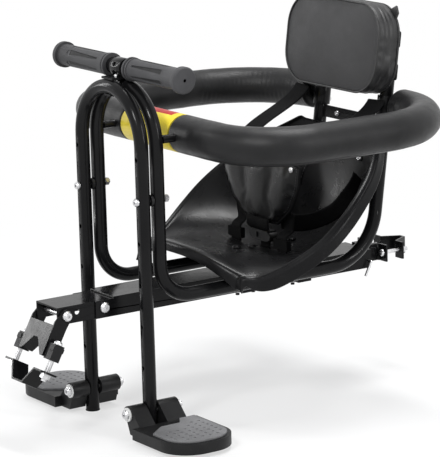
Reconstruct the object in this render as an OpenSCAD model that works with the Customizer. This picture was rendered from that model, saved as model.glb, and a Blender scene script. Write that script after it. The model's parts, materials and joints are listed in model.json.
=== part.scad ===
// Front-mounted child seat for a bicycle.
// It is laid out from the plane of the front hoop (y = 0) and from the lowest
// adjusting hole (z = 0), then shifted so that its origin is the centre of the
// seat-post clamp. The child faces -Y, +X is the child's left and +Z is up.

/* [Frame tubes] */
// Outside diameter of the frame tubes
tube_d = 20; // [18:0.5:22]
// Wall of the frame tubes
tube_wall = 1.8; // [1.2:0.1:2.5]
// Distance between the axes of the two legs
leg_spread = 158; // [140:1:180]
// Clear gap between the foot hoop and the seat frame
hoop_gap = 4.5; // [4:0.1:8]
// Height of the arch's centreline
arch_top = 394; // [370:1:420]
// Height of the lower end of the legs
leg_bottom = -97; // [-110:1:-90]
// Height of the side rails' centreline
rail_z = 96; // [90:1:104]
// Bend radius at the front of the side rails
front_bend = 50; // [40:1:60]
// Bend radius at the rear of the side rails
rear_bend = 85; // [70:1:100]
// Where the straight rails end and the rear bends start
rail_end = 322; // [310:1:335]
// Lean of the rear posts, in degrees
post_lean = 8; // [4:0.5:12]
// Length of the rear posts above their bend
post_length = 262; // [260:1:300]

/* [Adjusting holes] */
// Distance between the adjusting holes
hole_pitch = 60; // [50:1:65]
// Number of adjusting holes in each leg
hole_count = 6; // [5:1:6]
// Diameter of the adjusting holes
hole_d = 6.6; // [6.2:0.1:8]
// Which hole holds the height bolt, counted from the lowest
bolt_hole = 4; // [3:1:4]
// Diameter of the height bolts
bolt_d = 6; // [5:0.1:6]

/* [Beam] */
// Half width of the front beam
beam_half = 29; // [26:0.5:34]
// Height of the front beam's top face
beam_top = 95.5; // [92:0.5:98]
// Height of both beams' lower edges
beam_bottom = 70; // [66:0.5:74]
// Sheet thickness of both beams
beam_wall = 2.5; // [2:0.1:3.5]
// Clearance between the front beam and the rear beam around it
beam_fit = 0.3; // [0.2:0.05:0.6]
// Front end of the front beam
beam_front = -117; // [-125:1:-114]
// Rear end of the front beam, inside the rear beam
beam_lap = 60; // [30:1:120]
// Rear end of the rear beam
beam_rear = 432; // [424:1:440]

/* [Front clamp] */
// Distance of the clamp's pivot in front of the hoop
pivot_y = -103.5; // [-106:0.5:-100]
// Height of the clamp's pivot
pivot_z = 82.5; // [80:0.5:85]
// Diameter of the pivot bolt
pivot_d = 8; // [6:0.5:10]
// Angle at which the clamp hangs forward from straight down
clamp_hang = 28.7; // [20:0.1:40]
// Length of the clamp bracket below its pivot
bracket_len = 64; // [58:1:70]
// Depth of the clamp's V notch
notch_depth = 22; // [16:1:26]
// Distance between the two clamp rods
rod_spread = 87; // [84:1:92]
// Diameter of the clamp rods
rod_d = 8; // [6:0.5:8]
// Distance of the loose jaw below the bracket
jaw_drop = 19; // [17:1:24]
// Depth of the jaw's V
jaw_depth = 24; // [18:1:28]
// Half width of the jaw
jaw_half = 57; // [54:1:60]

/* [Seat-post clamp] */
// Distance of the seat post's axis behind the hoop
post_y = 475; // [472:1:478]
// Height of the middle of the clamp
post_z = 88; // [84:1:90]
// Height of the two jaws
jaw_height = 26; // [20:1:32]
// Gap between the ears of the two jaws
jaw_gap = 28; // [26:1:32]
// Distance between the seat-post clamp's bolts
clamp_bolt_spread = 54; // [50:1:58]

/* [Footrests] */
// Height of the footrests' hinge axis
hinge_z = -63; // [-66:1:-60]
// Diameter of the footrests' hinge bolts
hinge_d = 8; // [6:0.5:8]
// Outside diameter of the hinge lugs
lug_d = 24; // [20:1:26]
// Front end of the hinge lugs
lug_front = -37; // [-42:1:-30]
// Rear end of the hinge lugs
lug_rear = 43; // [36:1:48]
// How far the footplate reaches out from the leg
plate_reach = 147; // [120:1:155]
// How far outside the leg the footplate starts
plate_start = 27; // [24:1:32]
// Front edge of the footplate
plate_front = -48; // [-54:1:-44]
// Rear edge of the footplate
plate_rear = 61; // [52:1:66]
// Thickness of the footplate
plate_t = 16; // [12:1:20]
// Corner radius at the footplate's outer end
plate_corner = 46; // [30:1:50]

/* [Handlebar] */
// Height of the handlebar
bar_z = 419; // [417:1:424]
// Distance of the handlebar behind the front hoop
bar_y = 22; // [19:1:25]
// Diameter of the handlebar's tube
bar_d = 22; // [20:0.5:24]
// Length of the handlebar's tube
bar_len = 320; // [280:1:360]
// Diameter of the grips
grip_d = 31; // [28:0.5:34]
// Length of each grip
grip_len = 137; // [110:1:145]
// Diameter of the grips' end flanges
flange_d = 38; // [35:0.5:42]

/* [Guard ring] */
// Diameter of the ring's steel tube
ring_d = 19; // [16:0.5:20]
// Diameter of the ring's foam
foam_d = 55; // [48:1:58]
// Half width of the ring
ring_half = 248; // [225:1:260]
// Distance of the ring's front behind the hoop
ring_front = 82; // [76:1:92]
// Distance of the ring's rear behind the hoop
ring_rear = 437; // [425:1:445]
// Bend radius at the ring's front corners
ring_front_bend = 96; // [60:1:100]
// Bend radius at the ring's rear corners
ring_rear_bend = 140; // [110:1:145]
// Height of the ring
ring_z = 324; // [316:1:340]
// Half length of the plain band at the ring's front
band_half = 62; // [50:1:66]

/* [Seat shell] */
// Thickness of the seat shell
shell_t = 3; // [2.5:0.1:4]
// Depth of the skirt round the seat's rim
skirt = 22; // [14:1:28]
// Width of the flange on the seat's rim
flange_w = 14; // [10:1:18]

/* [Cushion and harness] */
// Width of the head cushion
cushion_w = 228; // [200:1:240]
// Height of the head cushion
cushion_h = 132; // [115:1:145]
// Thickness of the head cushion
cushion_t = 46; // [36:1:50]
// Height of the head cushion's lower edge above the rear bends, along the posts
cushion_up = 174; // [170:1:182]
// Corner radius of the head cushion
cushion_r = 48; // [36:1:56]
// Width of the shoulder straps
strap_w = 40; // [30:1:46]
// Thickness of the webbing
strap_t = 3; // [2:0.1:4]
// Width of the vest pad
vest_w = 200; // [160:1:220]

/* [Hidden] */
$fn = 48;
STEEL = [0.09, 0.09, 0.1];
CHROME = [0.8, 0.8, 0.82];
PLASTIC = [0.12, 0.12, 0.13];
RUBBER = [0.3, 0.3, 0.31];
FOAM = [0.33, 0.33, 0.34];
FABRIC = [0.2, 0.2, 0.21];
YELLOW = [0.93, 0.83, 0.24];
WHITE = [0.9, 0.9, 0.9];
tube_r = tube_d / 2;
bore_r = tube_r - tube_wall;
leg_x = leg_spread / 2;
frame_y = tube_d + hoop_gap;
bolt_z = bolt_hole * hole_pitch;
run = 0.1;
seat_gap = 0.3;
arch_z = arch_top - leg_x;
ring_r = ring_d / 2;
foam_r = foam_d / 2;
bar_r = bar_d / 2;
lug_r = lug_d / 2;
beam_cover = beam_half + beam_fit;
beam_out = beam_cover + beam_wall;
cover_top = beam_top + beam_fit + beam_wall;
rod_x = rod_spread / 2;
rod_r = rod_d / 2;
clamp_wall = 3;
clamp_in = beam_half + 0.4;
clamp_out = clamp_in + clamp_wall;
clamp_front = -14.3;
clamp_back = 8;
rod_y = -3;
guide_low = -bracket_len - 2;
jaw_top = guide_low - jaw_drop + 2;
post_front = -tube_r;
rear_bolt_x = clamp_bolt_spread / 2;
rear_jaw_y = post_y + jaw_gap / 2;
fixed_jaw_y = post_y - jaw_gap / 2;
pin_y = beam_rear - 4;
pin_z = 81;
plate_top = hinge_z - 13;
post_start = rail_z + rear_bend * (1 - sin(post_lean));
stand_z = ring_z;
bar_up = (ring_z - 25.5 - post_start) / cos(post_lean);
stand_x = sqrt(leg_x * leg_x - (stand_z - arch_z) * (stand_z - arch_z));
foam_rear = ring_half - ring_rear_bend - 3;
stand_end = ring_front - ring_r - 0.2;
// Where the seat is bolted down: distance behind the hoop, height of the pad
seat_bolts = [[209, 128.6], [237, 126], [309, 126]];
back_bolt_x = 60;
back_bar_up = 76;
vest_y = 255;
vest_t = 12;
vest_low = 150;
// The seat's middle line from the front lip to the top of the back
seat_line = [[97, 138], [101, 153], [150, 140], [200, 129], [250, 124], [300, 124],
    [345, 133], [374, 160], [389, 200], [398, 245], [402, 287]];
// The seat's rim: narrowing from the widest half width, distance, height
seat_half = 174;
seat_rim = [[50, 121, 102], [49, 127, 119], [32, 150, 118], [16, 190, 134],
    [2, 232, 160], [0, 268, 188], [8, 302, 214], [24, 336, 238], [44, 362, 258],
    [66, 382, 274], [94, 394, 290]];

// Helpers

function unit(v) = v / norm(v);
function catmull(p, i, t) =
    let (a = p[max(i - 1, 0)], b = p[i], c = p[i + 1], d = p[min(i + 2, len(p) - 1)])
    0.5 * (2 * b + (c - a) * t + (2 * a - 5 * b + 4 * c - d) * t * t
        + (3 * b - a - 3 * c + d) * t * t * t);
function smooth(p, n) = concat(
    [for (i = [0 : len(p) - 2], k = [0 : n - 1]) catmull(p, i, k / n)], [p[len(p) - 1]]);

module at_origin() {
    translate([0, -post_y, -post_z]) children();
}

module mirrored() {
    children();
    mirror([1, 0, 0]) children();
}

// Moves to the rear posts' own frame: its height runs along the posts
module lean() {
    translate([0, rail_end, rail_z + rear_bend]) rotate([-post_lean, 0, 0])
        translate([0, rear_bend, 0]) children();
}

// Moves to the front clamp: its height runs up along the hanging bracket
module hang() {
    translate([0, pivot_y, pivot_z]) rotate([-clamp_hang, 0, 0]) children();
}

// Stands a plane drawn in y and z upright, with its thickness along x
module side_plane() {
    rotate([90, 0, 90]) children();
}

// A round bar that starts along x. Each step is a straight length, then a turn about
// the bar's own axis, then a bend to the left: [length, turn, bend radius, bend angle]
module bent_rod(steps, r, i = 0) {
    s = steps[i];
    rotate([0, 90, 0]) rotate([0, 0, -90]) cylinder(r = r, h = s[0]);
    if (len(s) > 1) translate([s[0], 0, 0]) rotate([s[1], 0, 0]) translate([0, s[2], 0]) {
        rotate([0, 0, -90]) rotate_extrude(angle = s[3], $fn = 96)
            translate([s[2], 0]) circle(r = r, $fn = 48);
        if (i < len(steps) - 1) rotate([0, 0, s[3]]) translate([0, -s[2], 0])
            bent_rod(steps, r, i + 1);
    }
}

module bolt(d, length, head_d, head_h) {
    cylinder(d = d, h = length);
    difference() {
        union() {
            translate([0, 0, -head_h * 0.45]) cylinder(d = head_d, h = head_h * 0.45);
            translate([0, 0, -head_h]) cylinder(d1 = head_d * 0.7, d2 = head_d, h = head_h * 0.55);
        }
        translate([0, 0, -head_h - 1]) cylinder(d = head_d * 0.36, h = head_h * 0.55 + 1, $fn = 6);
    }
}

module hex_nut(d, across, h) {
    difference() {
        cylinder(d = across / cos(30), h = h, $fn = 6);
        translate([0, 0, -1]) cylinder(r = d / 2 + run, h = h + 2);
    }
}

module round_slot(length, width, height) {
    for (s = [-1, 1]) translate([s * (length - width) / 2, 0, 0]) cylinder(d = width, h = height);
    translate([-(length - width) / 2, -width / 2, 0]) cube([length - width, width, height]);
}

// A flat band of webbing along a path; across gives the direction of its width
module ribbon(path, across, width, thick) {
    n = len(path);
    corners = [for (i = [0 : n - 1])
        let (d = unit(path[min(i + 1, n - 1)] - path[max(i - 1, 0)]))
        let (a = unit(across[i] - (across[i] * d) * d), q = cross(d, a))
        for (c = [[-1, -1], [1, -1], [1, 1], [-1, 1]])
            path[i] + a * c[0] * width / 2 + q * c[1] * thick / 2];
    sides = [for (i = [0 : n - 2], k = [0 : 3])
        let (a = 4 * i + k, b = 4 * i + (k + 1) % 4)
        each [[a, b, b + 4], [a, b + 4, a + 4]]];
    e = 4 * (n - 1);
    polyhedron(points = corners, faces = concat([[0, 2, 1], [0, 3, 2]], sides,
        [[e, e + 1, e + 2], [e, e + 2, e + 3]]));
}

// Frame

module arch(r, y) {
    translate([0, y, arch_z]) rotate([90, 0, 0])
        rotate_extrude(angle = 180, $fn = 96) translate([leg_x, 0]) circle(r = r, $fn = 48);
}

module hoop(r, low) {
    arch(r, 0);
    mirrored() translate([leg_x, 0, low]) cylinder(r = r, h = arch_z - low);
}

module leg_drill(d, y1, y2, z) {
    for (s = [-1, 1]) translate([s * leg_x, y1, z]) rotate([-90, 0, 0]) cylinder(d = d, h = y2 - y1);
}

module foot_hoop() {
    color(STEEL) at_origin() difference() {
        hoop(tube_r, leg_bottom);
        hoop(bore_r, leg_bottom - 1);
        for (i = [0 : hole_count - 1]) leg_drill(hole_d, -tube_r - 1, tube_r + 1, i * hole_pitch);
        leg_drill(hinge_d + 2 * run, -tube_r - 1, tube_r + 1, hinge_z);
    }
}

module seat_frame_path(r) {
    arch(r, frame_y);
    mirrored() translate([leg_x, frame_y, arch_z]) rotate([0, 90, 0]) bent_rod([
        [arch_z - rail_z - front_bend, 0, front_bend, 90],
        [rail_end - frame_y - front_bend, 0, rear_bend, 90 - post_lean]], r);
}

module post(r, low = 0) {
    lean() mirrored() translate([leg_x, 0, low]) cylinder(r = r, h = post_length - low);
}

module seat_frame() {
    color(STEEL) at_origin() difference() {
        seat_frame_path(tube_r);
        seat_frame_path(bore_r);
        leg_drill(hole_d, frame_y - tube_r - 1, frame_y + tube_r + 1, bolt_z);
    }
}

module rear_posts() {
    color(STEEL) at_origin() difference() {
        post(tube_r);
        lean() mirrored() translate([leg_x, 0, -1]) cylinder(r = bore_r, h = post_length + 2);
    }
}

module leg_spacers() {
    color(PLASTIC) at_origin() mirrored()
        translate([leg_x, tube_r + 0.2, bolt_z]) rotate([-90, 0, 0]) difference() {
            cylinder(d = 16, h = hoop_gap - 0.4);
            translate([0, 0, -1]) cylinder(d = hole_d, h = hoop_gap + 2);
        }
}

module tube_plugs() {
    color(PLASTIC) at_origin() {
        mirrored() translate([leg_x, 0, leg_bottom]) {
            translate([0, 0, -4]) cylinder(r = tube_r + 0.6, h = 4);
            cylinder(r = bore_r - run, h = 12);
        }
        lean() mirrored() translate([leg_x, 0, post_length]) {
            cylinder(r1 = tube_r, r2 = tube_r - 1.6, h = 4);
            translate([0, 0, -14]) cylinder(r = bore_r - run, h = 15);
        }
    }
}

module height_bolts() {
    color(CHROME) at_origin() mirrored() translate([leg_x, -tube_r - 0.2, bolt_z])
        rotate([-90, 0, 0]) bolt(bolt_d, frame_y + 2 * tube_r + 8, 2 * bolt_d, 4.6);
}

module height_nuts() {
    color(CHROME) at_origin() mirrored() translate([leg_x, frame_y + tube_r + 0.2, bolt_z])
        rotate([-90, 0, 0]) hex_nut(bolt_d, 10, 5.5);
}

// Footrests, drawn for the left leg

module footplate() {
    top = plate_top;
    low = plate_top - plate_t;
    inner = leg_x + plate_start;
    reach = leg_x + plate_reach;
    color(PLASTIC) difference() {
        union() {
            translate([0, 0, low]) linear_extrude(plate_t) {
                translate([inner, plate_front]) square([reach - plate_corner - inner, plate_rear - plate_front]);
                translate([reach - plate_corner, plate_front + plate_corner])
                    square([plate_corner, plate_rear - plate_front - 2 * plate_corner]);
                for (y = [plate_front + plate_corner, plate_rear - plate_corner])
                    translate([reach - plate_corner, y]) circle(r = plate_corner, $fn = 96);
            }
            for (lug = [[lug_front, -tube_r - seat_gap], [tube_r + seat_gap, lug_rear]])
                translate([0, lug[0], 0]) {
                    translate([leg_x, 0, hinge_z]) rotate([-90, 0, 0])
                        cylinder(r = lug_r, h = lug[1] - lug[0]);
                    translate([0, lug[1] - lug[0], 0]) rotate([90, 0, 0])
                        linear_extrude(lug[1] - lug[0]) polygon([
                            [leg_x - 4, hinge_z - lug_r + 2], [leg_x, hinge_z - lug_r],
                            [leg_x, hinge_z + lug_r], [leg_x + lug_r * 0.7, hinge_z + lug_r * 0.7],
                            [inner + 4, top - 1], [inner + 4, low], [leg_x + 4, low]]);
                }
        }
        translate([leg_x, lug_front - 1, hinge_z]) rotate([-90, 0, 0])
            cylinder(r = hinge_d / 2 + 0.08, h = lug_rear - lug_front + 2);
        translate([0, -tube_r - seat_gap, low - 1])
            cube([leg_x + tube_r + 0.8, 2 * (tube_r + seat_gap), hinge_z - low + lug_r + 2]);
        // hollow underside with ribs left standing
        for (i = [0 : 2]) translate([inner + 9 + i * 27, plate_front + 14, low - 1])
            cube([22, plate_rear - plate_front - 28, plate_t - 4]);
    }
}

module tread() {
    reach = leg_x + plate_reach - 6;
    corner = plate_corner - 6;
    front = plate_front + 6;
    rear = plate_rear - 6;
    start = leg_x + plate_start;
    color(RUBBER) translate([0, 0, plate_top]) difference() {
        linear_extrude(2.4) difference() {
            union() {
                translate([start, front]) square([reach - corner - start, rear - front]);
                translate([reach - corner, front + corner]) square([corner, rear - front - 2 * corner]);
                for (y = [front + corner, rear - corner])
                    translate([reach - corner, y]) circle(r = corner, $fn = 96);
            }
            // the stepped edge beside the hinge
            polygon([[start - 1, front - 1], [start + 46, front - 1], [start + 22, -14],
                [start + 22, 18], [start + 3, 30], [start + 3, rear + 1], [start - 1, rear + 1]]);
        }
        // shallow dimples in rows
        for (i = [0 : 6], j = [0 : 6])
            if (norm([max(0, i - 4), j - 3]) < 3.2 && (i > 1 || j > 4 - i) && i + j > 2)
                translate([start + 31 + i * 11, (front + rear) / 2 + (j - 3) * 12.5, 1.2])
                    cylinder(d = 4.5, h = 2, $fn = 16);
    }
}

module left_footplate() {
    at_origin() footplate();
}

module right_footplate() {
    at_origin() mirror([1, 0, 0]) footplate();
}

module left_tread() {
    at_origin() tread();
}

module right_tread() {
    at_origin() mirror([1, 0, 0]) tread();
}

module footrest_bolts() {
    color(CHROME) at_origin() mirrored() translate([leg_x, lug_front - 2.4, hinge_z])
        rotate([-90, 0, 0]) bolt(hinge_d, lug_rear - lug_front + 12, 2 * hinge_d - 2, 5);
}

module footrest_washers() {
    color(WHITE) at_origin() mirrored() translate([leg_x, lug_front - 2.2, hinge_z])
        rotate([-90, 0, 0]) difference() {
            cylinder(r = lug_r - 2, h = 2);
            translate([0, 0, -1]) cylinder(r = hinge_d / 2 + run, h = 4);
        }
}

module footrest_nuts() {
    color(CHROME) at_origin() mirrored() translate([leg_x, lug_rear + 0.3, hinge_z])
        rotate([-90, 0, 0]) hex_nut(hinge_d, 13, 6.5);
}

// Handlebar

module along_x(x, y, z) {
    translate([x, y, z]) rotate([0, 90, 0]) children();
}

module handle_bar() {
    color(STEEL) at_origin() along_x(-bar_len / 2, bar_y, bar_z) difference() {
        cylinder(r = bar_r, h = bar_len);
        translate([0, 0, -1]) cylinder(r = bar_r - tube_wall, h = bar_len + 2);
    }
}

module grip() {
    start = bar_len / 2 + 2 - grip_len;
    color(RUBBER) along_x(start, bar_y, bar_z) difference() {
        union() {
            cylinder(d = grip_d, h = grip_len - 4);
            cylinder(d = grip_d + 3.4, h = 4);
            translate([0, 0, 7]) cylinder(d = grip_d + 2, h = 3);
            translate([0, 0, grip_len - 9]) cylinder(d = flange_d, h = 7);
            translate([0, 0, grip_len - 2]) cylinder(d1 = flange_d, d2 = flange_d - 4, h = 2);
        }
        translate([0, 0, -1]) cylinder(r = bar_r + 0.2, h = grip_len - 1);
        // long wedge-shaped recesses
        for (a = [0 : 60 : 300]) rotate([0, 0, a]) translate([grip_d / 2 - 1, 0, 22])
            rotate([0, 90, 0]) linear_extrude(4) polygon([[0, -1], [-78, -5], [-82, 0], [-78, 5], [0, 1]]);
        translate([0, 0, grip_len - 4]) cylinder(d = 5, h = 6);
    }
}

module left_grip() {
    at_origin() grip();
}

module right_grip() {
    at_origin() mirror([1, 0, 0]) grip();
}

module handle_bracket() {
    half = 14;
    foot = 3;
    low = arch_top + tube_r + 0.2;
    color(STEEL) at_origin() difference() {
        union() {
            along_x(-half, bar_y, bar_z) cylinder(r = bar_r + 2.6, h = 2 * half);
            translate([-half, -4, low]) cube([2 * half, bar_y + bar_r + 2, foot]);
            translate([-half, bar_y - 7, low]) cube([2 * half, 14, bar_z - low - bar_r]);
        }
        along_x(-half - 1, bar_y, bar_z) cylinder(r = bar_r + run, h = 2 * half + 2);
        translate([0, frame_y / 2, low - 1]) cylinder(d = 4.4, h = foot + 2);
        translate([0, frame_y / 2, low + foot]) cylinder(d = 7.4, h = 20);
    }
}

module handle_bolt() {
    color(CHROME) at_origin() translate([0, frame_y / 2, arch_top + tube_r + 3.3])
        rotate([180, 0, 0]) {
            bolt(4, 2 * tube_r + 12, 6.4, 2.4);
            translate([0, 0, 2 * tube_r + 7.2]) hex_nut(4, 7, 3.2);
        }
}

module handle_plate() {
    half = 8;
    top = arch_z + sqrt((leg_x - tube_r) * (leg_x - tube_r) - half * half) - 0.2;
    color(STEEL) at_origin() difference() {
        translate([-half, -4, top - 2.6]) cube([2 * half, frame_y + 8, 2.6]);
        translate([0, frame_y / 2, top - 5]) cylinder(d = 4.4, h = 8);
    }
}

// Beam

module beam_section(half, wall, low, top, from, to) {
    translate([0, to, 0]) rotate([90, 0, 0]) linear_extrude(to - from)
        polygon([[-half, low], [-half, top], [half, top], [half, low],
            [half - wall, low], [half - wall, top - wall], [wall - half, top - wall], [wall - half, low]]);
}

module front_beam() {
    color(STEEL) at_origin() difference() {
        beam_section(beam_half, beam_wall, beam_bottom, beam_top, beam_front, beam_lap);
        along_x(-beam_half - 1, pivot_y, pivot_z) cylinder(r = pivot_d / 2 + run, h = 2 * beam_half + 2);
        along_x(-beam_half - 1, -84, 85) cylinder(d = 8, h = 2 * beam_half + 2);
        along_x(-beam_half - 1, -41, 85) cylinder(d = 8.4, h = 2 * beam_half + 2);
    }
}

module rear_beam() {
    color(STEEL) at_origin() difference() {
        beam_section(beam_out, beam_wall, beam_bottom, cover_top, -55, beam_rear);
        translate([-beam_out - 1, -56, cover_top - beam_wall - 0.01])
            cube([2 * beam_out + 2, 31, beam_wall + 1]);
        along_x(-beam_out - 1, -41, 85) cylinder(d = 8.4, h = 2 * beam_out + 2);
        along_x(-beam_out - 1, pin_y, pin_z) cylinder(d = 4.4, h = 2 * beam_out + 2);
        for (p = seat_bolts) translate([0, p[0], beam_bottom]) cylinder(d = 6.6, h = 40);
    }
}

module beam_bolt() {
    color(CHROME) at_origin() along_x(beam_out + 0.2, -41, 85) rotate([0, 180, 0]) {
        bolt(8, 2 * beam_out + 10, 15, 5);
        translate([0, 0, 2 * beam_out + 0.4]) hex_nut(8, 13, 6.5);
    }
}

module cross_plates() {
    color(STEEL) at_origin() difference() {
        for (y = [[195, 251], [294, 324]])
            translate([-leg_x, y[0], cover_top]) cube([2 * leg_x, y[1] - y[0], 3]);
        mirrored() translate([leg_x, 100, rail_z]) rotate([-90, 0, 0]) cylinder(r = tube_r + run, h = 240);
        for (s = [-1, 1]) translate([s * (leg_x + 10) - 10, 100, cover_top - 1]) cube([20, 240, 8]);
        for (p = seat_bolts) translate([0, p[0], cover_top - 1]) cylinder(d = 6.6, h = 6);
    }
}

module beam_straps() {
    color(STEEL) at_origin() difference() {
        for (y = [[197, 249], [297, 321]])
            translate([-beam_out, y[0], beam_bottom - 3]) cube([2 * beam_out, y[1] - y[0], 3]);
        for (p = seat_bolts) translate([0, p[0], beam_bottom - 5]) cylinder(d = 6.6, h = 6);
    }
}

module cross_bolts() {
    color(CHROME) at_origin() for (p = seat_bolts)
        translate([0, p[0], p[1] + 0.2]) rotate([180, 0, 0])
            bolt(6, p[1] - beam_bottom + 13, 13, 3.6);
}

module cross_nuts() {
    color(CHROME) at_origin() for (p = seat_bolts)
        translate([0, p[0], beam_bottom - 3.2]) rotate([180, 0, 0]) hex_nut(6, 10, 5.5);
}

// Front clamp

module clamp_bracket() {
    low = -bracket_len;
    notch = low + notch_depth;
    color(STEEL) at_origin() hang() difference() {
        union() {
            for (s = [0, 1]) mirror([s, 0, 0]) translate([clamp_in, 0, 0]) side_plane() {
                linear_extrude(clamp_wall) polygon([[clamp_front, low], [clamp_front, -14], [-9.6, 0],
                    [9.6, 0], [clamp_back, -18], [clamp_back, low + 22], [clamp_back - 6, low]]);
                cylinder(r = 10, h = clamp_wall);
            }
            translate([-clamp_out, clamp_front, low])
                cube([2 * clamp_out, 2.6, bracket_len - 18.6]);
            // V-shaped saddle behind the front sheet
            translate([0, clamp_back - 2, 0]) rotate([90, 0, 0])
                linear_extrude(clamp_back - clamp_front - 3) polygon([
                    [-clamp_in - 1, low + 2], [-26, low + 3], [-6, notch + 3], [6, notch + 3],
                    [26, low + 3], [clamp_in + 1, low + 2], [clamp_in + 1, low], [25, low],
                    [5, notch], [-5, notch], [-25, low], [-clamp_in - 1, low]]);
        }
        translate([0, clamp_front + 4, 0]) rotate([90, 0, 0]) linear_extrude(8)
            polygon([[-25, low - 1], [-25, low], [-5, notch], [5, notch], [25, low], [25, low - 1]]);
        along_x(-clamp_out - 1, 0, 0) cylinder(r = pivot_d / 2 + 0.08, h = 2 * clamp_out + 2);
    }
}

module clamp_pivot_bolt() {
    color(CHROME) at_origin() along_x(clamp_out + 0.3, pivot_y, pivot_z) rotate([0, 180, 0]) {
        bolt(pivot_d, 2 * clamp_out + 10, 15, 5);
        translate([0, 0, 2 * clamp_out + 0.6]) hex_nut(pivot_d, 13, 6.5);
    }
}

module clamp_rod_guides() {
    color(PLASTIC) at_origin() hang() mirrored() difference() {
        union() {
            translate([clamp_out, rod_y - 8, guide_low]) cube([rod_x + 7 - clamp_out, 16, 24]);
            translate([rod_x - 3, rod_y - 9, guide_low + 14]) cube([10, 18, 7]);
        }
        translate([rod_x, rod_y, guide_low - 1]) cylinder(r = rod_r + run, h = 30);
    }
}

module clamp_rods() {
    color(CHROME) at_origin() hang() mirrored() translate([rod_x, rod_y, guide_low + 24.2])
        rotate([180, 0, 0]) bolt(rod_d, 24 + jaw_drop + 12, 13, 5);
}

module clamp_jaw() {
    low = jaw_top - jaw_depth;
    t = 3;
    color(STEEL) at_origin() hang() difference() {
        translate([0, rod_y + 14, 0]) rotate([90, 0, 0]) linear_extrude(28) polygon([
            [-jaw_half, jaw_top], [-29, jaw_top], [-12, low], [12, low], [29, jaw_top],
            [jaw_half, jaw_top], [jaw_half, jaw_top - t], [31, jaw_top - t], [14, low - t],
            [-14, low - t], [-31, jaw_top - t], [-jaw_half, jaw_top - t]]);
        for (s = [-1, 1]) translate([s * rod_x, rod_y, jaw_top - 5]) cylinder(r = rod_r + run, h = 10);
        for (s = [-1, 1], q = [-1, 1]) translate([s * (jaw_half - 1), rod_y + q * 15, jaw_top - 5])
            rotate([0, 0, 45]) cube([10, 10, 20], center = true);
    }
}

module clamp_nuts() {
    color(CHROME) at_origin() hang() mirrored() translate([rod_x, rod_y, jaw_top - 3])
        rotate([180, 0, 0]) hex_nut(rod_d, 13, 7);
}

// Seat-post clamp

module post_clamp_body() {
    neck = 17;
    low = post_z - jaw_height / 2;
    color(STEEL) at_origin() difference() {
        union() {
            beam_section(beam_half, 3, beam_bottom + 3, beam_top, pin_y - 45, pin_y + 6);
            translate([-beam_half, pin_y + 3, low]) cube([2 * beam_half, 3, beam_top - low]);
            for (s = [-1, 1]) translate([s * (neck - 1.5) - 1.5, pin_y + 5, low])
                cube([3, fixed_jaw_y - 11 - pin_y, jaw_height]);
            translate([-neck, pin_y + 5, low + jaw_height - 3]) cube([2 * neck, fixed_jaw_y - 15 - pin_y, 3]);
            translate([0, 0, low]) linear_extrude(jaw_height) polygon([
                [-36, fixed_jaw_y], [-19, fixed_jaw_y], [-4, fixed_jaw_y - 10], [4, fixed_jaw_y - 10],
                [19, fixed_jaw_y], [36, fixed_jaw_y], [36, fixed_jaw_y - 3], [20, fixed_jaw_y - 3],
                [5, fixed_jaw_y - 13], [-5, fixed_jaw_y - 13], [-20, fixed_jaw_y - 3], [-36, fixed_jaw_y - 3]]);
        }
        along_x(-beam_half - 1, pin_y, pin_z) cylinder(d = 4.4, h = 2 * beam_half + 2);
        for (s = [-1, 1]) translate([s * rear_bolt_x, fixed_jaw_y - 6, post_z]) rotate([-90, 0, 0])
            cylinder(r = 3 + run, h = 10);
    }
}

module post_clamp_jaw() {
    t = 3;
    low = post_z - jaw_height / 2;
    color(STEEL) at_origin() difference() {
        translate([0, 0, low]) linear_extrude(jaw_height) polygon([
            [-36, rear_jaw_y], [-18, rear_jaw_y], [-3.5, rear_jaw_y + 26], [3.5, rear_jaw_y + 26],
            [18, rear_jaw_y], [36, rear_jaw_y], [36, rear_jaw_y + t], [20, rear_jaw_y + t],
            [5.5, rear_jaw_y + 29], [-5.5, rear_jaw_y + 29], [-20, rear_jaw_y + t], [-36, rear_jaw_y + t]]);
        for (s = [-1, 1]) translate([s * rear_bolt_x, rear_jaw_y - 3, post_z]) rotate([-90, 0, 0])
            cylinder(r = 3 + run, h = 10);
    }
}

module post_clamp_bolts() {
    color(CHROME) at_origin() mirrored() translate([rear_bolt_x, fixed_jaw_y - 3.2, post_z])
        rotate([-90, 0, 0]) bolt(6, jaw_gap + 18, 11, 4);
}

module post_clamp_nuts() {
    color(CHROME) at_origin() mirrored() translate([rear_bolt_x, rear_jaw_y + 3, post_z])
        rotate([-90, 0, 0]) hex_nut(6, 10, 5.5);
}

module lock_pin() {
    tail = beam_out + 6;
    color(CHROME) at_origin() translate([0, pin_y, pin_z]) {
        along_x(-beam_out - 6, 0, 0) cylinder(r = 2, h = beam_out + 6 + tail);
        translate([tail, 0, 0]) sphere(r = 2, $fn = 24);
        translate([tail, 0, 0]) rotate([153, 0, 0]) cylinder(r = 2, h = 24);
    }
}

// Seat shell

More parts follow.
